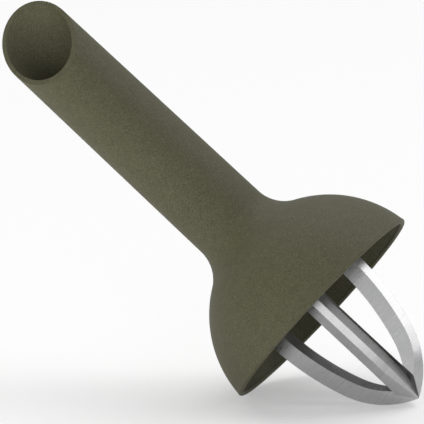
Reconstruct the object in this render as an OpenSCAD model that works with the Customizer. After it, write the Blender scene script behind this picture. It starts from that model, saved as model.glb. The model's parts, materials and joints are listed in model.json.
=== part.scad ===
// Hand citrus reamer: a hollow handle that flows into a bell, and a steel reamer of four raked
// blades that pulls out of the neck for washing. Millimetres, +z up, floor at z = 0.
// Each piece is drawn upright, with the tool's axis on z, the bell's rim at z = 0 and the tip below.
// leaning() then lays the whole tool down as it rests, on the bell's rim and the lower blade.

/* [Handle] */
// Outside diameter of the handle where it leaves the neck
handle_d = 27; // [24:0.5:32]
// Outside diameter of the handle at its open end
handle_end_d = 25.8; // [25:0.1:32]
// Diameter of the hollow in the handle
bore_d = 23; // [18:0.1:23.6]
// Height of the middle of the slanted end above the bell's rim
handle_len = 126.3; // [90:0.1:160]
// Slant of the open end
cut_angle = 48.2; // [30:0.1:55]
// Turn of the slanted end against the blades
cut_turn = -7; // [-45:0.5:45]
// Thickness of the floor between the handle's hollow and the socket
neck_floor = 4; // [2:0.5:8]

/* [Bell] */
// Outside radius of the round bell
bell_r = 38.7; // [37:0.1:46]
// How far the bell's centre lies below its rim
bell_drop = 2.8; // [1:0.1:6]
// Wall of the bell
bell_wall = 1.6; // [1.2:0.1:2.6]
// How far the round lip stands proud of the bell's wall
lip_bead = 0.1; // [0.05:0.05:0.4]
// Radius of the hollow curve between bell and handle
neck_fillet = 12.6; // [8:0.1:16]
// Height of the bell's flat ceiling above the rim
ceiling_z = 24; // [22:0.5:26]

/* [Blades] */
// Radius of the reamer over its cutting edges, inside the bell
blade_r = 20.2; // [18:0.1:22]
// How far the tip stands out of the bell's rim
tip_reach = 42.1; // [38:0.1:46]
// Curve of the blade's long side
side_r = 96; // [80:1:120]
// Curve of the blade's nose
nose_r = 30; // [26:0.5:33]
// Slope at which the long side turns into the nose
nose_slope = 17.5; // [14:0.5:20]
// Width of the flat land behind the cutting edge
land_w = 2.45; // [1.5:0.05:3]
// Distance of the cutting edge from the blade's middle plane
edge_offset = 1.65; // [1:0.05:2.2]
// Width of the bevel in front of the cutting edge
bevel_w = 2.55; // [1.5:0.05:3]
// Depth of the bevel in front of the cutting edge
bevel_depth = 2.5; // [1.5:0.05:3]
// Slope of the blade's back
heel_angle = 27; // [18:1:32]
// Height above the tip at which the land begins to narrow
taper_len = 13; // [10:0.5:18]
// Width of the land that is left at the tip
tip_w = 0.3; // [0.2:0.05:0.6]
// Depth of the blade at its middle plane
blade_depth = 6; // [5:0.1:7.5]
// Tilt of the blade's inner face
inner_tilt = 21; // [5:1:22]

/* [Hub and stem] */
// Thickness of the hub plate
hub_t = 2.5; // [2:0.1:4]
// Margin of the hub plate outside the blades
hub_margin = 0.6; // [0.2:0.1:2]
// Thickness of the seal between hub plate and bell
seal_t = 1; // [0.6:0.1:1.6]
// Width of the seal ring
seal_w = 8; // [4:0.5:9]
// Diameter of the round part of the stem
stem_d = 14; // [12:0.2:14.4]
// Length of the round part of the stem inside the socket
stem_round_len = 12; // [10:0.5:14]
// Diameter of the stem's drive end
drive_d = 10.4; // [9:0.1:11]
// Width across the flats of the drive end
drive_flats = 8; // [7:0.1:8.8]
// Length of the drive end
drive_len = 9.5; // [7:0.5:12]
// Side of the square foot that keys the stem into the hub plate
key_side = 8; // [7.4:0.2:9]
// Depth of the square foot
key_depth = 1.2; // [0.8:0.1:1.6]
// Diameter of a blade's rivet in the hub plate
rivet_d = 3.6; // [3:0.1:4]
// Steel that is left between a rivet and the blade's inner face
rivet_edge = 0.1; // [0.05:0.05:0.6]

/* [Screw and rings] */
// Diameter of the screw's shank
screw_d = 5; // [4:0.1:5.4]
// Length of the screw, head included
screw_len = 12; // [10:0.5:14]
// Diameter of the screw's countersunk head
screw_head_d = 9; // [8:0.2:10]
// Height of the screw's countersunk head
screw_head_h = 1.1; // [0.9:0.05:1.2]
// Width across the flats of the screw's drive socket
screw_drive = 3; // [2:0.1:3.4]
// Depth of the screw's drive socket
screw_drive_depth = 1.6; // [1:0.1:2.4]
// Cross section of a grip ring
ring_d = 1.8; // [1.4:0.1:2]
// Distance between the two grip rings
ring_pitch = 5; // [3.5:0.1:6]
// Distance of the first grip ring from the bell's ceiling
ring_first = 3.5; // [2.5:0.1:4]

/* [Socket] */
// Width across the flats of the hexagonal socket insert
socket_flats = 17.4; // [17.2:0.1:18.4]
// Clearance behind the end of the stem
stem_end_gap = 0.5; // [0.2:0.1:1.5]

/* [Fits] */
// Radial clearance of a sliding fit
slide_fit = 0.05; // [0.02:0.01:0.1]
// Radial clearance of a fixed fit
snug_fit = 0.02; // [0.01:0.01:0.05]

/* [Pose] */
// Turn of the tool about its own axis as it rests
roll = 23; // [0:0.5:40]

/* [Hidden] */
$fn = 96;
// A depth that cuts past a surface
past = 1;
// How far the neck's curve sinks into the bell, so that the two join in one skin
blend_sink = 0.005;

// Bell: the lip is a full round on the middle of the wall, standing on the rim plane
lip_r = bell_wall / 2 + lip_bead;
lip_ring_r = sqrt(pow(bell_r - bell_wall / 2, 2) - pow(lip_r + bell_drop, 2));
// Neck: a hollow curve that runs into both the bell and the handle
fillet_ring_r = handle_d / 2 + neck_fillet;
blend_r = bell_r + neck_fillet - blend_sink;
neck_z = sqrt(pow(blend_r, 2) - pow(fillet_ring_r, 2)) - bell_drop;
fillet_low_z = (neck_z + bell_drop) * bell_r / blend_r - bell_drop;
// Handle: its far end lies half a diameter beyond the middle of the slanted cut
handle_top_z = handle_len + handle_end_d / 2 * tan(cut_angle) + past;

// Hub: plate and seal hang under the bell's ceiling
hub_top_z = ceiling_z - seal_t;
hub_low_z = hub_top_z - hub_t;
hub_r = blade_r + hub_margin;
// Rivets: each stands just outside the inner face of its blade
rivet_r = blade_r - blade_depth + (rivet_d / 2 + rivet_edge) / cos(inner_tilt);
// Stem: round part in the socket, then the drive end
drive_z = ceiling_z + stem_round_len;
stem_top_z = drive_z + drive_len;
socket_top_z = stem_top_z + stem_end_gap;
bore_floor_z = socket_top_z + neck_floor;
groove_r = stem_d / 2 - ring_d + slide_fit + snug_fit;

// Blade: two tangent curves, the long side and the nose, that end on the tool's axis at the tip
side_x = blade_r - side_r;
nose_x = side_x + (side_r - nose_r) * cos(nose_slope);
nose_end = acos(-nose_x / nose_r);
nose_z = nose_r * sin(nose_end) - tip_reach;
side_z = nose_z + (side_r - nose_r) * sin(nose_slope);
// Stock that is left inside the blade before its inner face is cut
stock = 2 * blade_depth;
// The long side runs on past the hub, where it is cut off
root_slope = asin((hub_low_z - side_z) / (side_r - stock)) + nose_slope / 4;

// Nose: cutting edge and land run together towards the tip
edge_rate = (edge_offset - tip_w / 2) / taper_len;
heel_rate = (land_w - edge_offset - tip_w / 2) / taper_len;

// Rest: the lean at which rim and lower blade touch the floor together
function rim_drop(lean) = lip_ring_r * cos(lean) - lip_r * sin(lean) + lip_r;
// How far a rolled blade's cutting edge reaches in a direction, given by its parts out of and along the axis
function nose_reach(out, along) =
    let (slope = along - out * edge_rate * sin(roll))
    out * (nose_x * cos(roll) + (tip_w / 2 + edge_rate * tip_reach) * sin(roll))
    - slope * nose_z + nose_r * norm([out * cos(roll), slope]);
function blade_drop(lean) = nose_reach(cos(lean), sin(lean));
function even_lean(low, high, steps) =
    let (mid = (low + high) / 2)
    steps == 0 ? mid
    : rim_drop(mid) > blade_drop(mid) ? even_lean(mid, high, steps - 1)
    : even_lean(low, mid, steps - 1);
lean = even_lean(10, 80, 40);
// Middle of the resting tool, between the nose of the upper blade and the handle's end
reach_front = nose_reach(sin(lean), cos(lean));
cut_roll = roll + cut_turn;
reach_back = handle_len * cos(lean) + handle_end_d / 2
    * norm([sin(lean) * cos(cut_roll), tan(cut_angle) * cos(lean) + sin(lean) * sin(cut_roll)]);

// Lays an upright piece down as the tool rests
module leaning() {
    translate([(reach_back - reach_front) / 2, 0, rim_drop(lean)])
        rotate([0, lean - 90, 0])
            rotate([0, 0, roll])
                children();
}

// Half section of the bell's wall, cut square to the wall above the lip
module bell_section() {
    difference() {
        translate([0, -bell_drop])
            circle(bell_r);
        intersection() {
            translate([0, -bell_drop])
                circle(bell_r - bell_wall);
            translate([-bell_r, -2 * bell_r])
                square([2 * bell_r, 2 * bell_r + ceiling_z]);
        }
        translate([0, -bell_drop])
            polygon([[0, 0], 2 * [lip_ring_r, lip_r + bell_drop], [2 * bell_r, -2 * bell_r], [0, -2 * bell_r]]);
        translate([-2 * bell_r, -2 * bell_r])
            square([2 * bell_r, 4 * bell_r]);
    }
    translate([lip_ring_r, lip_r])
        circle(lip_r);
}

// Half section of the neck and the solid handle above it
module handle_section() {
    difference() {
        translate([0, fillet_low_z])
            square([fillet_ring_r, neck_z - fillet_low_z]);
        translate([fillet_ring_r, neck_z])
            circle(neck_fillet);
    }
    polygon([[0, neck_z], [handle_d / 2, neck_z], [handle_end_d / 2, handle_top_z], [0, handle_top_z]]);
}

// Hexagonal block of the socket insert
module socket_block(flats, low, high) {
    translate([0, 0, low])
        cylinder(d = flats / cos(30), h = high - low, $fn = 6);
}

// Round bar with two flats, standing at z
module drive_bar(d, flats, z, h) {
    translate([0, 0, z])
        intersection() {
            cylinder(d = d, h = h);
            translate([-flats / 2, -d, 0])
                cube([flats, 2 * d, h]);
        }
}

// Handle and bell, one moulding
module body_shell() {
    color([0.36, 0.35, 0.27])
        leaning()
            difference() {
                rotate_extrude() {
                    bell_section();
                    handle_section();
                }
                translate([0, 0, bore_floor_z])
                    cylinder(d = bore_d, h = handle_top_z - bore_floor_z + past);
                socket_block(socket_flats + 2 * snug_fit, ceiling_z - past, socket_top_z);
                translate([0, 0, handle_len])
                    rotate([cut_angle, 0, cut_turn])
                        translate([-handle_d, -2 * handle_d, 0])
                            cube([2 * handle_d, 4 * handle_d, 2 * handle_d]);
            }
}

// Insert in the neck: round at the bottom for the rings, flat-sided above for the drive end
module neck_socket() {
    color([0.2, 0.2, 0.2])
        leaning()
            difference() {
                socket_block(socket_flats, ceiling_z, socket_top_z);
                translate([0, 0, ceiling_z - past])
                    cylinder(d = stem_d + 2 * slide_fit, h = stem_round_len + past);
                drive_bar(drive_d + 2 * slide_fit, drive_flats + 2 * slide_fit,
                          drive_z - past, socket_top_z - drive_z + 2 * past);
            }
}

// Steel disc that carries the four blades
module hub_plate() {
    color([0.75, 0.75, 0.74])
        leaning()
            difference() {
                translate([0, 0, hub_low_z])
                    cylinder(r = hub_r, h = hub_t);
                for (turn = [0:90:270])
                    rotate([0, 0, turn])
                        translate([rivet_r, 0, hub_low_z - past])
                            cylinder(d = rivet_d + 2 * snug_fit, h = hub_t + 2 * past);
                translate([0, 0, hub_top_z - key_depth])
                    linear_extrude(key_depth + past)
                        square(key_side + 2 * snug_fit, center = true);
                screw_outline(slide_fit);
            }
}

// Soft washer between hub plate and bell
module hub_seal() {
    color([0.3, 0.3, 0.3])
        leaning()
            translate([0, 0, hub_top_z])
                difference() {
                    cylinder(r = stem_d / 2 + slide_fit + seal_w, h = seal_t);
                    translate([0, 0, -past])
                        cylinder(d = stem_d + 2 * slide_fit, h = seal_t + 2 * past);
                }
}

// Shank of the reamer with its square foot, two ring grooves and a flattened drive end
module stem() {
    color([0.7, 0.7, 0.7])
        leaning()
            difference() {
                union() {
                    translate([0, 0, hub_top_z - key_depth])
                        linear_extrude(key_depth)
                            square(key_side, center = true);
                    translate([0, 0, hub_top_z])
                        cylinder(d = stem_d, h = drive_z - hub_top_z);
                    drive_bar(drive_d, drive_flats, drive_z, drive_len);
                }
                for (place = [0, 1])
                    translate([0, 0, ceiling_z + ring_first + place * ring_pitch - ring_d / 2 - slide_fit])
                        difference() {
                            cylinder(r = stem_d, h = ring_d + 2 * slide_fit);
                            translate([0, 0, -past])
                                cylinder(r = groove_r, h = ring_d + 2 * past);
                        }
                screw_outline(slide_fit);
            }
}

// The screw as a turned shape, grown by a clearance for the holes it goes into
module screw_outline(grow) {
    translate([0, 0, hub_low_z])
        rotate_extrude()
            polygon([[0, 0], [screw_head_d / 2 + grow, 0], [screw_d / 2 + grow, screw_head_h],
                     [screw_d / 2 + grow, screw_len + grow], [0, screw_len + grow]]);
}

// Countersunk screw from the bell's side into the stem
module hub_screw() {
    color([0.8, 0.8, 0.8])
        leaning()
            difference() {
                screw_outline(0);
                socket_block(screw_drive, hub_low_z - past, hub_low_z + screw_drive_depth);
            }
}

// Two rubber rings in the stem's grooves
module grip_rings() {
    color([0.1, 0.1, 0.1])
        leaning()
            for (place = [0, 1])
                translate([0, 0, ceiling_z + ring_first + place * ring_pitch])
                    rotate_extrude()
                        translate([groove_r + snug_fit + ring_d / 2 - slide_fit, 0])
                            circle(d = ring_d - 2 * slide_fit);
}

// Section of a blade, r away from the centre that it is bent about: cutting edge, land, back, inside, bevel
module blade_section(r) {
    polygon([[r, -edge_offset],
             [r, land_w - edge_offset],
             [r - stock, land_w - edge_offset + stock * tan(heel_angle)],
             [r - stock, -edge_offset - bevel_w],
             [r - bevel_depth, -edge_offset - bevel_w]]);
}

// Side view of everything inside the blade's outline, from the tip up past the hub
module blade_outline() {
    translate([side_x, side_z])
        intersection() {
            circle(side_r);
            polygon([[0, 0], 2 * side_r * [cos(nose_slope), -sin(nose_slope)],
                     2 * side_r * [cos(root_slope), sin(root_slope)]]);
        }
    translate([nose_x, nose_z])
        circle(nose_r);
}

// A bar of any section, bent downward about a centre r inside the cutting edge
module bent(r, turn) {
    translate([-r, 0, 0])
        rotate([-90, 0, 0])
            rotate_extrude(angle = turn)
                children();
}

// Puts a shape on the cutting edge, where the long side and the nose meet
module at_bend() {
    translate([nose_x, 0, nose_z])
        rotate([0, nose_slope, 0])
            translate([nose_r, 0, 0])
                children();
}

// The whole bar: long side and nose bent away from the place where they meet
module blade_bar() {
    at_bend() {
        mirror([0, 0, 1])
            bent(side_r, nose_slope + root_slope)
                blade_section(side_r);
        bent(nose_r, 90 - nose_slope)
            blade_section(nose_r);
    }
}

// A cut along the nose, tilted about the tip so that it runs into the blade towards the tip
module nose_cut(tilt) {
    translate([0, 0, -tip_reach])
        rotate([tilt, 0, 0])
            translate([0, 0, tip_reach])
                at_bend()
                    bent(nose_r, 90 - nose_slope)
                        children();
}

// What narrows the land towards the tip, from the bevel's side and from the back
module nose_tapers() {
    nose_cut(atan(edge_rate))
        polygon([[nose_r, -tip_w / 2],
                 [nose_r + past, -tip_w / 2],
                 [nose_r + past, -tip_w / 2 - 2 * bevel_w],
                 [nose_r - 2 * bevel_depth, -tip_w / 2 - 2 * bevel_w]]);
    nose_cut(-atan(heel_rate))
        polygon([[nose_r, tip_w / 2],
                 [nose_r + past, tip_w / 2],
                 [nose_r + past, tip_w / 2 + stock * tan(heel_angle)],
                 [nose_r - stock, tip_w / 2 + stock * tan(heel_angle)]]);
}

// A finished blade on +x: inner face cut, mitred and ground to a point at the tip, riveted at the root
module blade(turn) {
    color([0.78, 0.78, 0.77])
        leaning()
            rotate([0, 0, turn]) {
                difference() {
                    intersection() {
                        blade_bar();
                        translate([0, 0, -2 * tip_reach])
                            linear_extrude(2 * tip_reach + hub_low_z)
                                polygon([[0, 0], 2 * [blade_r, -blade_r], 2 * [blade_r, blade_r]]);
                    }
                    translate([blade_r - blade_depth, 0, 0])
                        rotate([90, 0, -inner_tilt])
                            translate([-blade_r, 0, -2 * blade_r])
                                linear_extrude(4 * blade_r)
                                    blade_outline();
                    nose_tapers();
                }
                translate([rivet_r, 0, hub_low_z - past])
                    cylinder(d = rivet_d, h = hub_t + past);
            }
}

module blade_upper() { blade(0); }
module blade_back() { blade(90); }
module blade_lower() { blade(180); }
module blade_front() { blade(270); }

body_shell();
neck_socket();
hub_plate();
hub_seal();
stem();
hub_screw();
grip_rings();
blade_front();
blade_upper();
blade_back();
blade_lower();
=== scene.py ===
import json
import math

import bpy
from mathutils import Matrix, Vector


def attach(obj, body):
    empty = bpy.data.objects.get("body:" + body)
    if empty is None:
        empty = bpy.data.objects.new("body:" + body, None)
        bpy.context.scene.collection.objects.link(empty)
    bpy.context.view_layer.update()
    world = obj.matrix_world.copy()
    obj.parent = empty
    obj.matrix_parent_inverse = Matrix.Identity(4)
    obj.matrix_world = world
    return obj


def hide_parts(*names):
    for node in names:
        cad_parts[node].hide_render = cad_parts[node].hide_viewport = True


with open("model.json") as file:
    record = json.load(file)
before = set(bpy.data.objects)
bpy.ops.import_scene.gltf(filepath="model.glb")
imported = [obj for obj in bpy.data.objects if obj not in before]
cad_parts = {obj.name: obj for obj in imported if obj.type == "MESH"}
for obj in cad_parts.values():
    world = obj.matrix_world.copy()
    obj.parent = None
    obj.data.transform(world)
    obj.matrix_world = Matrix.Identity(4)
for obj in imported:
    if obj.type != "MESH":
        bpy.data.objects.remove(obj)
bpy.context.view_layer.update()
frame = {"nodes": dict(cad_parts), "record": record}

# Camera: a long lens, a little above the table and to the right of the tool.
# The tool is a hand citrus reamer, which leans on its bell and its lower blade.
IMAGE_WIDTH, SENSOR_WIDTH = 424, 36.0
PIXELS_PER_RADIAN = 8082.0
CAMERA_DISTANCE, NEAREST_SEEN, FARTHEST_SEEN = 2.6, 0.1, 50.0
CAMERA_TURN, CAMERA_RISE = math.radians(19.28), math.radians(13.37)
LOOK_AT = Vector((0.010, 0.0, 0.050))
LEFT_OF_TARGET, ABOVE_TARGET = 0.00764, 0.00876

towards_camera = Vector((math.sin(CAMERA_TURN) * math.cos(CAMERA_RISE),
                         -math.cos(CAMERA_TURN) * math.cos(CAMERA_RISE),
                         math.sin(CAMERA_RISE)))
picture_right = Vector((math.cos(CAMERA_TURN), math.sin(CAMERA_TURN), 0.0))
picture_up = towards_camera.cross(picture_right)
lens = bpy.data.cameras.new("camera")
lens.sensor_width = SENSOR_WIDTH
lens.lens = PIXELS_PER_RADIAN * SENSOR_WIDTH / IMAGE_WIDTH
lens.clip_start, lens.clip_end = NEAREST_SEEN, FARTHEST_SEEN
camera = bpy.data.objects.new("camera", lens)
camera.location = LOOK_AT + CAMERA_DISTANCE * towards_camera
centre_of_view = LOOK_AT - LEFT_OF_TARGET * picture_right + ABOVE_TARGET * picture_up
camera.rotation_euler = (centre_of_view - camera.location).to_track_quat("-Z", "Y").to_euler()
bpy.context.collection.objects.link(camera)
bpy.context.scene.camera = camera
bpy.context.scene.view_settings.view_transform = "Standard"

# Lamps: softboxes to the right, in front and to the left, and a reflector panel that lies on the table.
# The left softbox and the panel are there for the plastic's dark side, so the steel doesn't mirror them.
PANEL_PLACE = Vector((-0.08, -0.30, 0.0003))
STRAIGHT_UP = Vector((0.0, 0.0, 1.0))


def softbox(name, place, aim, width, height, brightness, mirrored=True):
    """A flat lamp that faces a point; a mirror shows it at its brightness, unless it isn't mirrored."""
    lamp = bpy.data.lights.new(name, "AREA")
    lamp.shape = "RECTANGLE"
    lamp.size, lamp.size_y = width, height
    lamp.energy = brightness * math.pi * width * height
    holder = bpy.data.objects.new(name, lamp)
    holder.location = place
    holder.rotation_euler = (Vector(aim) - Vector(place)).to_track_quat("-Z", "Y").to_euler()
    holder.visible_camera = False
    holder.visible_glossy = mirrored
    bpy.context.collection.objects.link(holder)


softbox("lamp_right", place=(2.505, 1.264, 1.605), aim=LOOK_AT, width=1.2, height=2.4, brightness=2.1)
softbox("lamp_front", place=(1.517, -2.757, 0.659), aim=LOOK_AT, width=2.3, height=1.5, brightness=1.9)
softbox("lamp_left", place=(-1.55, -1.80, 0.45), aim=LOOK_AT, width=1.2, height=1.0, brightness=8.0,
        mirrored=False)
softbox("table_panel", place=PANEL_PLACE, aim=PANEL_PLACE + STRAIGHT_UP, width=0.8, height=0.4,
        brightness=1.2, mirrored=False)

# Room: a plain studio with a bright ceiling, walls that are lighter at their foot, and less light in front.
# It only lights the tool and shows in the steel, because the floor fills the picture.
WALL_FOOT_LIGHT, WALL_LIGHT, CEILING_LIGHT, FRONT_SHARE = 0.85, 0.50, 3.40, 0.16
FOOT_LOW, FOOT_HIGH = 0.05, 0.30
CEILING_LOW, CEILING_HIGH = 0.50, 0.95
FRONT_END, BACK_END = -0.20, 0.60


def add_node(tree, kind, values=None, **settings):
    """A new node in a tree, with values for its input sockets and its own settings."""
    node = tree.nodes.new(kind)
    for name, value in settings.items():
        setattr(node, name, value)
    for name, value in (values or {}).items():
        node.inputs[name].default_value = value
    return node


def add_ramp(tree, low, high, at_low=0.0, at_high=1.0):
    """A node that turns a value between two limits into one between two others."""
    return add_node(tree, "ShaderNodeMapRange",
                    {"From Min": low, "From Max": high, "To Min": at_low, "To Max": at_high})


world = bpy.data.worlds.new("studio")
world.use_nodes = True
room = world.node_tree
direction = add_node(room, "ShaderNodeTexCoord")
parts = add_node(room, "ShaderNodeSeparateXYZ")
wall_foot = add_ramp(room, FOOT_LOW, FOOT_HIGH, WALL_FOOT_LIGHT - WALL_LIGHT, 0.0)
wall_and_ceiling = add_ramp(room, CEILING_LOW, CEILING_HIGH, WALL_LIGHT, CEILING_LIGHT)
front_shade = add_ramp(room, FRONT_END, BACK_END, FRONT_SHARE, 1.0)
heights = add_node(room, "ShaderNodeMath", operation="ADD")
shaded = add_node(room, "ShaderNodeMath", operation="MULTIPLY")
background = room.nodes["Background"]
background.inputs["Color"].default_value = (1.0, 1.0, 1.0, 1.0)
room.links.new(direction.outputs["Generated"], parts.inputs["Vector"])
room.links.new(parts.outputs["Z"], wall_foot.inputs["Value"])
room.links.new(parts.outputs["Z"], wall_and_ceiling.inputs["Value"])
room.links.new(parts.outputs["Y"], front_shade.inputs["Value"])
room.links.new(wall_foot.outputs["Result"], heights.inputs[0])
room.links.new(wall_and_ceiling.outputs["Result"], heights.inputs[1])
room.links.new(heights.outputs["Value"], shaded.inputs[0])
room.links.new(front_shade.outputs["Result"], shaded.inputs[1])
room.links.new(shaded.outputs["Value"], background.inputs["Strength"])
bpy.context.scene.world = world

# Floor: a sweep of matte white paper that the tool leans on, and that keeps the tool's shadow.
# The camera and reflections see a share of plain white in it, so the lamps needn't be turned up for that.
FLOOR_HALF = 6.0
PAPER_WHITE, PAPER_ROUGHNESS, PAPER_GLOSS = 0.95, 0.9, 0.1
WHITE_SHARE = 0.34


def new_mesh_object(name, points, faces):
    """A mesh object in the scene, smooth shaded."""
    mesh = bpy.data.meshes.new(name)
    mesh.from_pydata(points, [], faces)
    mesh.validate()
    mesh.shade_smooth()
    piece = bpy.data.objects.new(name, mesh)
    bpy.context.collection.objects.link(piece)
    return piece


def new_material(name):
    """A material with nodes, its tree and its Principled shader."""
    material = bpy.data.materials.new(name)
    material.use_nodes = True
    return material, material.node_tree, material.node_tree.nodes["Principled BSDF"]


floor_corners = [(x * FLOOR_HALF, y * FLOOR_HALF, 0.0) for x, y in ((-1, -1), (1, -1), (1, 1), (-1, 1))]
floor = new_mesh_object("floor", floor_corners, [(0, 1, 2, 3)])
paper, tree, shader = new_material("paper_sweep")
shader.inputs["Base Color"].default_value = (PAPER_WHITE, PAPER_WHITE, PAPER_WHITE, 1.0)
shader.inputs["Roughness"].default_value = PAPER_ROUGHNESS
shader.inputs["Specular IOR Level"].default_value = PAPER_GLOSS
rays = add_node(tree, "ShaderNodeLightPath")
camera_or_gloss = add_node(tree, "ShaderNodeMath", operation="ADD")
seen = add_node(tree, "ShaderNodeMath", operation="ADD", use_clamp=True)
share = add_node(tree, "ShaderNodeMath", {1: WHITE_SHARE}, operation="MULTIPLY")
white = add_node(tree, "ShaderNodeEmission", {"Color": (1.0, 1.0, 1.0, 1.0), "Strength": 1.0})
blend = add_node(tree, "ShaderNodeMixShader")
tree.links.new(rays.outputs["Is Camera Ray"], camera_or_gloss.inputs[0])
tree.links.new(rays.outputs["Is Glossy Ray"], camera_or_gloss.inputs[1])
tree.links.new(camera_or_gloss.outputs["Value"], seen.inputs[0])
tree.links.new(rays.outputs["Is Transmission Ray"], seen.inputs[1])
tree.links.new(seen.outputs["Value"], share.inputs[0])
tree.links.new(share.outputs["Value"], blend.inputs["Fac"])
tree.links.new(shader.outputs["BSDF"], blend.inputs[1])
tree.links.new(white.outputs["Emission"], blend.inputs[2])
tree.links.new(blend.outputs["Shader"], tree.nodes["Material Output"].inputs["Surface"])
floor.data.materials.append(paper)

# Body: handle and bell in one olive moulding of fibre-filled plastic, matte and finely speckled.
# The handle is hollow and cut off on a slant, with soft edges; the bell ends in a round lip.
# The neck holds a six-sided pocket for the socket insert.
PULL = frame["record"]["behaviour"]["joints"][0]
BORE = frame["record"]["mounts"][0]
BORE_POINT_ABOVE_RIM = 0.082
HANDLE_R, HANDLE_END_R, HANDLE_LENGTH = 0.0135, 0.0129, 0.1263
BORE_R, BORE_FLOOR, FLOOR_CURVE = 0.0115, 0.050, 0.003
SLANT, SLANT_TURN = math.tan(math.radians(48.2)), math.radians(16.0)
OUTER_EDGE, INNER_EDGE = 0.00025, 0.0003
BELL_R, BELL_DROP, BELL_WALL = 0.0387, 0.0028, 0.0016
LIP_R, LIP_TUCK_DEGREES, ABOVE_LIP_DEGREES = 0.0009, 28.0, 1.0
NECK_CURVE, CEILING = 0.0126, 0.024
POCKET_FLATS, POCKET_TOP, POCKET_TURN = 0.01744, 0.046, math.radians(23.0)

# Points of the skin: columns round the axis and steps of each curve, with more beside the corners.
COLUMNS = 192
BELL_INSIDE_STEPS, LIP_STEPS, BELL_OUTSIDE_STEPS, NECK_STEPS = 28, 16, 40, 24
OUTER_EDGE_STEPS, INNER_EDGE_STEPS, FLOOR_STEPS = 6, 5, 6
HANDLE_RING_SHARES, BORE_RING_SHARES = (0.2, 0.4, 0.6, 0.8, 0.95), (0.05, 0.3, 0.6, 0.9)
BESIDE_CORNER = 0.0002

tool_axis = Vector(PULL["axis"])
tool_up = Vector((tool_axis.z, 0.0, -tool_axis.x))
tool_side = Vector((0.0, 1.0, 0.0))
rim_centre = Vector(BORE["pos_m"]) - BORE_POINT_ABOVE_RIM * tool_axis

lip_ring = math.sqrt((BELL_R - BELL_WALL / 2) ** 2 - (LIP_R + BELL_DROP) ** 2)
lip_tilt = math.degrees(math.atan2(LIP_R + BELL_DROP, lip_ring))
neck_ring = HANDLE_R + NECK_CURVE
neck_height = math.sqrt((BELL_R + NECK_CURVE) ** 2 - neck_ring ** 2) - BELL_DROP
neck_tilt = math.degrees(math.atan2(neck_height + BELL_DROP, neck_ring))
ceiling_r = math.sqrt((BELL_R - BELL_WALL) ** 2 - (CEILING + BELL_DROP) ** 2)
ceiling_tilt = math.degrees(math.atan2(CEILING + BELL_DROP, ceiling_r))
handle_taper = (HANDLE_R - HANDLE_END_R) / (HANDLE_LENGTH + HANDLE_END_R - neck_height)


def arc(centre_r, centre_z, radius, start, end, steps):
    """Points of a circle in the half section, from one angle to another in degrees."""
    turns = [math.radians(start + (end - start) * i / steps) for i in range(steps + 1)]
    return [(centre_r + radius * math.cos(a), centre_z + radius * math.sin(a)) for a in turns]


def between(first, last, shares):
    """Points of a straight line, at shares of the way from its first point to its last."""
    return [tuple(Vector(first).lerp(Vector(last), share)) for share in shares]


def soft_corner(before, corner, after, reach, steps):
    """Points that round a corner off, starting and ending on its two sides."""
    corner = Vector(corner)
    first = corner + reach * (Vector(before) - corner).normalized()
    last = corner + reach * (Vector(after) - corner).normalized()
    shares = [i / steps for i in range(steps + 1)]
    return [tuple((1 - t) ** 2 * first + 2 * t * (1 - t) * corner + t * t * last) for t in shares]


def body_section(turn):
    """Half section of the moulding at one turn: pocket, bell, lip, neck, handle, slanted end, bore."""
    sixth = math.pi / 3
    pocket_r = POCKET_FLATS / 2 / math.cos((turn - POCKET_TURN) % sixth - sixth / 2)
    points = [(0.0, POCKET_TOP), (pocket_r - BESIDE_CORNER, POCKET_TOP), (pocket_r, POCKET_TOP)]
    points += [(pocket_r, CEILING), (pocket_r + BESIDE_CORNER, CEILING)]
    points += [(ceiling_r - BESIDE_CORNER, CEILING)]
    above_lip = lip_tilt + ABOVE_LIP_DEGREES
    lip_start, lip_end = 180 + lip_tilt - LIP_TUCK_DEGREES, 360 + lip_tilt + LIP_TUCK_DEGREES
    points += arc(0.0, -BELL_DROP, BELL_R - BELL_WALL, ceiling_tilt, above_lip, BELL_INSIDE_STEPS)
    points += arc(lip_ring, LIP_R, LIP_R, lip_start, lip_end, LIP_STEPS)
    points += arc(0.0, -BELL_DROP, BELL_R, above_lip, neck_tilt, BELL_OUTSIDE_STEPS)
    points += arc(neck_ring, neck_height, NECK_CURVE, 180 + neck_tilt, 180, NECK_STEPS)[1:]
    slope = SLANT * math.sin(turn - SLANT_TURN)
    edge_z = ((HANDLE_LENGTH + slope * (HANDLE_R + handle_taper * neck_height))
              / (1 + slope * handle_taper))
    edge_r = HANDLE_R - handle_taper * (edge_z - neck_height)
    neck_end, outer = (HANDLE_R, neck_height), (edge_r, edge_z)
    inner, bore_end = (BORE_R, HANDLE_LENGTH + slope * BORE_R), (BORE_R, BORE_FLOOR)
    floor_middle = (0.0, BORE_FLOOR)
    points += between(neck_end, outer, HANDLE_RING_SHARES)
    points += soft_corner(neck_end, outer, inner, OUTER_EDGE, OUTER_EDGE_STEPS)
    points += soft_corner(outer, inner, bore_end, INNER_EDGE, INNER_EDGE_STEPS)
    points += between(inner, bore_end, BORE_RING_SHARES)
    points += soft_corner(inner, bore_end, floor_middle, FLOOR_CURVE, FLOOR_STEPS)
    return points + [floor_middle]


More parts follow.
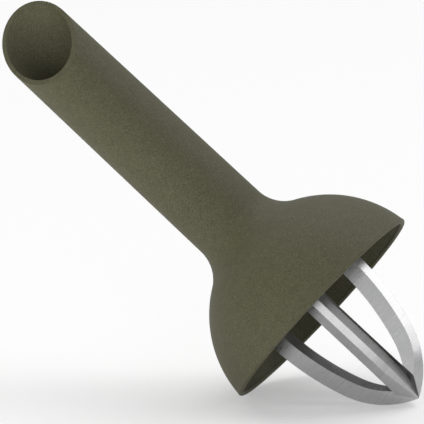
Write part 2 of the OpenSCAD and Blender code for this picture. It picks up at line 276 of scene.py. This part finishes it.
def turned(name, section, columns):
    """A closed skin round the tool's axis from a half section that may change with the turn."""
    turns = [2 * math.pi * i / columns for i in range(columns)]
    sections = [section(turn) for turn in turns]
    inside = len(sections[0]) - 2
    points = [rim_centre + z * tool_axis for z in (sections[0][0][1], sections[0][-1][1])]
    for turn, rings in zip(turns, sections):
        out = math.cos(turn) * tool_up + math.sin(turn) * tool_side
        points += [rim_centre + r * out + z * tool_axis for r, z in rings[1:-1]]
    faces = []
    for i in range(columns):
        here, beside = 2 + i * inside, 2 + (i + 1) % columns * inside
        faces.append((0, beside, here))
        faces += [(here + k, beside + k, beside + k + 1, here + k + 1) for k in range(inside - 1)]
        faces.append((here + inside - 1, beside + inside - 1, 1))
    return new_mesh_object(name, points, faces)


def new_group(name, inputs, outputs):
    """A shader node group with its sockets, its tree and its two end nodes."""
    group = bpy.data.node_groups.new(name, "ShaderNodeTree")
    for label, kind, value in inputs:
        socket = group.interface.new_socket(label, in_out="INPUT", socket_type=kind)
        if value is not None:
            socket.default_value = value
    for label, kind in outputs:
        group.interface.new_socket(label, in_out="OUTPUT", socket_type=kind)
    return group, group.nodes.new("NodeGroupInput"), group.nodes.new("NodeGroupOutput")


# Speckle: a fine grain, a lighter fleck in some of its cells, and slow clouds of tone.
CLOUDS_PER_METRE = 320.0
FLECK_SHARE, FLECK_EDGE, FLECK_CORE = 0.1, 0.42, 0.18
GRAIN_LOW, GRAIN_HIGH = 0.32, 0.68
CLOUD_LOW, CLOUD_HIGH = 0.3, 0.7
TONE_CHANGE, SHEEN_CHANGE = 0.05, 0.07
GRAIN_STRENGTH, PLASTIC_GLOSS = 0.5, 0.35
speckle, start, end = new_group("speckle", [("Vector", "NodeSocketVector", None),
                                            ("Grains Per Metre", "NodeSocketFloat", None),
                                            ("Fleck Share", "NodeSocketFloat", FLECK_SHARE)],
                                [("Grain", "NodeSocketFloat"), ("Fleck", "NodeSocketFloat"),
                                 ("Cloud", "NodeSocketFloat")])
grain = add_node(speckle, "ShaderNodeTexNoise", {"Detail": 3.0, "Roughness": 0.6})
cells = add_node(speckle, "ShaderNodeTexVoronoi", {"Randomness": 1.0})
pick = add_node(speckle, "ShaderNodeSeparateColor")
chosen = add_node(speckle, "ShaderNodeMath", operation="LESS_THAN")
dot = add_ramp(speckle, FLECK_EDGE, FLECK_CORE)
fleck = add_node(speckle, "ShaderNodeMath", operation="MULTIPLY")
cloud = add_node(speckle, "ShaderNodeTexNoise", {"Scale": CLOUDS_PER_METRE, "Detail": 2.0})
for texture in (grain, cells, cloud):
    speckle.links.new(start.outputs["Vector"], texture.inputs["Vector"])
for texture in (grain, cells):
    speckle.links.new(start.outputs["Grains Per Metre"], texture.inputs["Scale"])
speckle.links.new(cells.outputs["Color"], pick.inputs["Color"])
speckle.links.new(pick.outputs["Red"], chosen.inputs[0])
speckle.links.new(start.outputs["Fleck Share"], chosen.inputs[1])
speckle.links.new(cells.outputs["Distance"], dot.inputs["Value"])
speckle.links.new(dot.outputs["Result"], fleck.inputs[0])
speckle.links.new(chosen.outputs["Value"], fleck.inputs[1])
speckle.links.new(grain.outputs["Fac"], end.inputs["Grain"])
speckle.links.new(fleck.outputs["Value"], end.inputs["Fleck"])
speckle.links.new(cloud.outputs["Fac"], end.inputs["Cloud"])


def speckled_plastic(name, dark, light, fleck_colour, grains_per_metre, roughness, grain_height):
    """Moulded plastic with a fine grain, lighter flecks and slow changes of tone."""
    material, tree, shader = new_material(name)
    place = add_node(tree, "ShaderNodeTexCoord")
    pattern = add_node(tree, "ShaderNodeGroup", node_tree=speckle)
    pattern.inputs["Grains Per Metre"].default_value = grains_per_metre
    sharpen = add_ramp(tree, GRAIN_LOW, GRAIN_HIGH)
    ground = add_node(tree, "ShaderNodeMix", data_type="RGBA")
    ground.inputs["A"].default_value, ground.inputs["B"].default_value = (*dark, 1.0), (*light, 1.0)
    flecked = add_node(tree, "ShaderNodeMix", data_type="RGBA")
    flecked.inputs["B"].default_value = (*fleck_colour, 1.0)
    toned = add_node(tree, "ShaderNodeHueSaturation")
    tone = add_ramp(tree, CLOUD_LOW, CLOUD_HIGH, 1.0 - TONE_CHANGE, 1.0 + TONE_CHANGE)
    sheen = add_ramp(tree, 0.0, 1.0, roughness - SHEEN_CHANGE, roughness + SHEEN_CHANGE)
    bump = add_node(tree, "ShaderNodeBump", {"Strength": GRAIN_STRENGTH, "Distance": grain_height})
    links = tree.links
    links.new(place.outputs["Object"], pattern.inputs["Vector"])
    links.new(pattern.outputs["Grain"], sharpen.inputs["Value"])
    links.new(sharpen.outputs["Result"], ground.inputs["Factor"])
    links.new(ground.outputs["Result"], flecked.inputs["A"])
    links.new(pattern.outputs["Fleck"], flecked.inputs["Factor"])
    links.new(flecked.outputs["Result"], toned.inputs["Color"])
    links.new(pattern.outputs["Cloud"], tone.inputs["Value"])
    links.new(tone.outputs["Result"], toned.inputs["Value"])
    links.new(toned.outputs["Color"], shader.inputs["Base Color"])
    links.new(pattern.outputs["Grain"], sheen.inputs["Value"])
    links.new(sheen.outputs["Result"], shader.inputs["Roughness"])
    links.new(pattern.outputs["Grain"], bump.inputs["Height"])
    links.new(bump.outputs["Normal"], shader.inputs["Normal"])
    shader.inputs["Specular IOR Level"].default_value = PLASTIC_GLOSS
    return material


body = turned("handle_and_bell", body_section, COLUMNS)
body.data.materials.append(speckled_plastic(
    "olive_plastic", dark=(0.048, 0.0463, 0.024), light=(0.092, 0.0882, 0.0495),
    fleck_colour=(0.130, 0.125, 0.084), grains_per_metre=2200.0, roughness=0.68, grain_height=0.00004))
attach(body, "grip")
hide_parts("body_shell")

# Socket insert: a six-sided block of plain dark plastic, moulded and pressed into the neck's pocket.
# It takes the stem, and is seen only when the reamer is out.
frame["nodes"]["neck_socket"].data.materials[0] = speckled_plastic(
    "dark_socket_plastic", dark=(0.022, 0.022, 0.020), light=(0.036, 0.036, 0.033),
    fleck_colour=(0.06, 0.06, 0.055), grains_per_metre=2600.0, roughness=0.55, grain_height=0.00002)

# Blades: four bars of stainless steel, ground to a cutting edge and a flat land and brushed across.
# They run together to a point and are riveted to the hub plate.
BLADE_EDGE, BLADE_EDGE_DEGREES = 0.00016, 18.0
WELD_GAP, EDGE_SEGMENTS = 0.000002, 2
TOOL_TILT = math.atan2(tool_axis.x, tool_axis.z)
LINE_LENGTH, LINE_WIDTH, STEEL_CLOUDS_PER_METRE = 0.008, 0.00022, 160.0
LINE_LOW, LINE_HIGH = 0.3, 0.7
SHEEN_SPAN, SHEEN_FROM_LINES, SHEEN_FROM_CLOUD = 0.18, 0.5, 0.5
LINE_STRENGTH = 0.35


def stand_upright(group, unit=(1.0, 1.0, 1.0)):
    """A node that measures places from the bell's rim, with the tool's axis upright, in the given unit."""
    return add_node(group, "ShaderNodeMapping",
                    {"Location": rim_centre, "Rotation": (0.0, TOOL_TILT, 0.0), "Scale": unit},
                    vector_type="TEXTURE")


lines_across, start, end = new_group("lines_across_the_axis", [("Vector", "NodeSocketVector", None)],
                                     [("Lines", "NodeSocketFloat"), ("Cloud", "NodeSocketFloat")])
upright = stand_upright(lines_across, (LINE_LENGTH, LINE_LENGTH, LINE_WIDTH))
hairs = add_node(lines_across, "ShaderNodeTexNoise", {"Scale": 1.0, "Detail": 3.0, "Roughness": 0.65})
cloud = add_node(lines_across, "ShaderNodeTexNoise", {"Scale": STEEL_CLOUDS_PER_METRE, "Detail": 2.0})
lines_across.links.new(start.outputs["Vector"], upright.inputs["Vector"])
lines_across.links.new(upright.outputs["Vector"], hairs.inputs["Vector"])
lines_across.links.new(start.outputs["Vector"], cloud.inputs["Vector"])
lines_across.links.new(hairs.outputs["Fac"], end.inputs["Lines"])
lines_across.links.new(cloud.outputs["Fac"], end.inputs["Cloud"])


def brushed_steel(name, dark, light, roughness, line_height):
    """Stainless steel with fine brush lines round the tool's axis and a little uneven sheen."""
    material, tree, shader = new_material(name)
    place = add_node(tree, "ShaderNodeTexCoord")
    pattern = add_node(tree, "ShaderNodeGroup", node_tree=lines_across)
    sharpen = add_ramp(tree, LINE_LOW, LINE_HIGH)
    ground = add_node(tree, "ShaderNodeMix", data_type="RGBA")
    ground.inputs["A"].default_value, ground.inputs["B"].default_value = (*dark, 1.0), (*light, 1.0)
    cloud_part = add_node(tree, "ShaderNodeMath", {1: SHEEN_FROM_CLOUD}, operation="MULTIPLY")
    uneven = add_node(tree, "ShaderNodeMath", {1: SHEEN_FROM_LINES}, operation="MULTIPLY_ADD")
    sheen = add_node(tree, "ShaderNodeMath", {1: SHEEN_SPAN, 2: roughness - SHEEN_SPAN / 2},
                     operation="MULTIPLY_ADD")
    bump = add_node(tree, "ShaderNodeBump", {"Strength": LINE_STRENGTH, "Distance": line_height})
    links = tree.links
    links.new(place.outputs["Object"], pattern.inputs["Vector"])
    links.new(pattern.outputs["Lines"], sharpen.inputs["Value"])
    links.new(sharpen.outputs["Result"], ground.inputs["Factor"])
    links.new(ground.outputs["Result"], shader.inputs["Base Color"])
    links.new(pattern.outputs["Cloud"], cloud_part.inputs[0])
    links.new(pattern.outputs["Lines"], uneven.inputs[0])
    links.new(cloud_part.outputs["Value"], uneven.inputs[2])
    links.new(uneven.outputs["Value"], sheen.inputs[0])
    links.new(sheen.outputs["Value"], shader.inputs["Roughness"])
    links.new(pattern.outputs["Lines"], bump.inputs["Height"])
    links.new(bump.outputs["Normal"], shader.inputs["Normal"])
    shader.inputs["Metallic"].default_value = 1.0
    return material


def soften_edges(name, width, sharper_than):
    """Rounds the edges of a CAD node that are sharper than an angle, without touching its mesh."""
    piece = frame["nodes"][name]
    weld = piece.modifiers.new("weld", "WELD")
    weld.merge_threshold = WELD_GAP
    bevel = piece.modifiers.new("soft_edges", "BEVEL")
    bevel.width, bevel.segments = width, EDGE_SEGMENTS
    bevel.limit_method, bevel.angle_limit = "ANGLE", math.radians(sharper_than)
    bevel.harden_normals = True
    flat = piece.modifiers.new("even_shading", "WEIGHTED_NORMAL")
    flat.keep_sharp = True


blade_steel = brushed_steel("brushed_blade_steel", dark=(0.37, 0.37, 0.375), light=(0.47, 0.47, 0.475),
                            roughness=0.29, line_height=0.00002)
for name in ("blade_front", "blade_upper", "blade_back", "blade_lower"):
    frame["nodes"][name].data.materials[0] = blade_steel
    soften_edges(name, BLADE_EDGE, BLADE_EDGE_DEGREES)

# Hub plate: a turned disc of stainless steel under the bell's ceiling, with the four blades riveted in.
# Its face keeps the fine rings of the turning tool, and its edges are broken.
PLATE_EDGE, PLATE_EDGE_DEGREES = 0.00015, 40.0
RING_WIDTH, RING_HEIGHT, RING_STRENGTH, RING_SHEEN_CHANGE = 0.00025, 0.00002, 0.3, 0.06
ACROSS_THE_AXIS = (1.0, 1.0, 0.0)
turning_rings, start, end = new_group("turning_rings", [("Vector", "NodeSocketVector", None)],
                                      [("Rings", "NodeSocketFloat")])
upright = stand_upright(turning_rings)
flat_place = add_node(turning_rings, "ShaderNodeVectorMath", {1: ACROSS_THE_AXIS}, operation="MULTIPLY")
from_axis = add_node(turning_rings, "ShaderNodeVectorMath", operation="LENGTH")
ring_number = add_node(turning_rings, "ShaderNodeMath", {1: RING_WIDTH}, operation="DIVIDE")
rings = add_node(turning_rings, "ShaderNodeTexNoise", {"Scale": 1.0, "Detail": 2.0}, noise_dimensions="1D")
turning_rings.links.new(start.outputs["Vector"], upright.inputs["Vector"])
turning_rings.links.new(upright.outputs["Vector"], flat_place.inputs[0])
turning_rings.links.new(flat_place.outputs["Vector"], from_axis.inputs[0])
turning_rings.links.new(from_axis.outputs["Value"], ring_number.inputs[0])
turning_rings.links.new(ring_number.outputs["Value"], rings.inputs["W"])
turning_rings.links.new(rings.outputs["Fac"], end.inputs["Rings"])


def turned_steel(name, dark, light, roughness):
    """Stainless steel with the rings that a turning tool leaves on a flat face."""
    material, tree, shader = new_material(name)
    place = add_node(tree, "ShaderNodeTexCoord")
    pattern = add_node(tree, "ShaderNodeGroup", node_tree=turning_rings)
    ground = add_node(tree, "ShaderNodeMix", data_type="RGBA")
    ground.inputs["A"].default_value, ground.inputs["B"].default_value = (*dark, 1.0), (*light, 1.0)
    sheen = add_ramp(tree, 0.0, 1.0, roughness - RING_SHEEN_CHANGE, roughness + RING_SHEEN_CHANGE)
    bump = add_node(tree, "ShaderNodeBump", {"Strength": RING_STRENGTH, "Distance": RING_HEIGHT})
    links = tree.links
    links.new(place.outputs["Object"], pattern.inputs["Vector"])
    links.new(pattern.outputs["Rings"], ground.inputs["Factor"])
    links.new(ground.outputs["Result"], shader.inputs["Base Color"])
    links.new(pattern.outputs["Rings"], sheen.inputs["Value"])
    links.new(sheen.outputs["Result"], shader.inputs["Roughness"])
    links.new(pattern.outputs["Rings"], bump.inputs["Height"])
    links.new(bump.outputs["Normal"], shader.inputs["Normal"])
    shader.inputs["Metallic"].default_value = 1.0
    return material


frame["nodes"]["hub_plate"].data.materials[0] = turned_steel(
    "turned_hub_steel", dark=(0.40, 0.40, 0.405), light=(0.56, 0.56, 0.565), roughness=0.32)
soften_edges("hub_plate", PLATE_EDGE, PLATE_EDGE_DEGREES)

# Hub screw: a countersunk screw of bright stainless steel, with a six-sided drive in its turned head.
# It holds the hub plate to the stem.
frame["nodes"]["hub_screw"].data.materials[0] = turned_steel(
    "bright_screw_steel", dark=(0.52, 0.52, 0.52), light=(0.66, 0.66, 0.66), roughness=0.24)

# Stem: the reamer's shank, turned from stainless steel, with two grooves for the grip rings.
# Its end is flattened, so that it can't turn in the socket; the tool marks run round it.
STEM_EDGE, STEM_EDGE_DEGREES = 0.00015, 40.0
frame["nodes"]["stem"].data.materials[0] = brushed_steel(
    "turned_stem_steel", dark=(0.42, 0.42, 0.425), light=(0.58, 0.58, 0.585),
    roughness=0.30, line_height=0.00002)
soften_edges("stem", STEM_EDGE, STEM_EDGE_DEGREES)

# Seal: a soft washer cut from a sheet of grey silicone.
# It is clamped between the hub plate and the bell, and keeps juice out of the socket.
frame["nodes"]["hub_seal"].data.materials[0] = speckled_plastic(
    "grey_silicone", dark=(0.048, 0.048, 0.044), light=(0.072, 0.072, 0.066),
    fleck_colour=(0.085, 0.085, 0.078), grains_per_metre=1800.0, roughness=0.50, grain_height=0.00001)

# Grip rings: two moulded rings of black rubber, which sit in the stem's grooves.
# Their squeeze holds the reamer in its socket until it is pulled out.
frame["nodes"]["grip_rings"].data.materials[0] = speckled_plastic(
    "black_rubber", dark=(0.010, 0.010, 0.010), light=(0.021, 0.021, 0.020),
    fleck_colour=(0.030, 0.030, 0.029), grains_per_metre=3000.0, roughness=0.60, grain_height=0.00001)
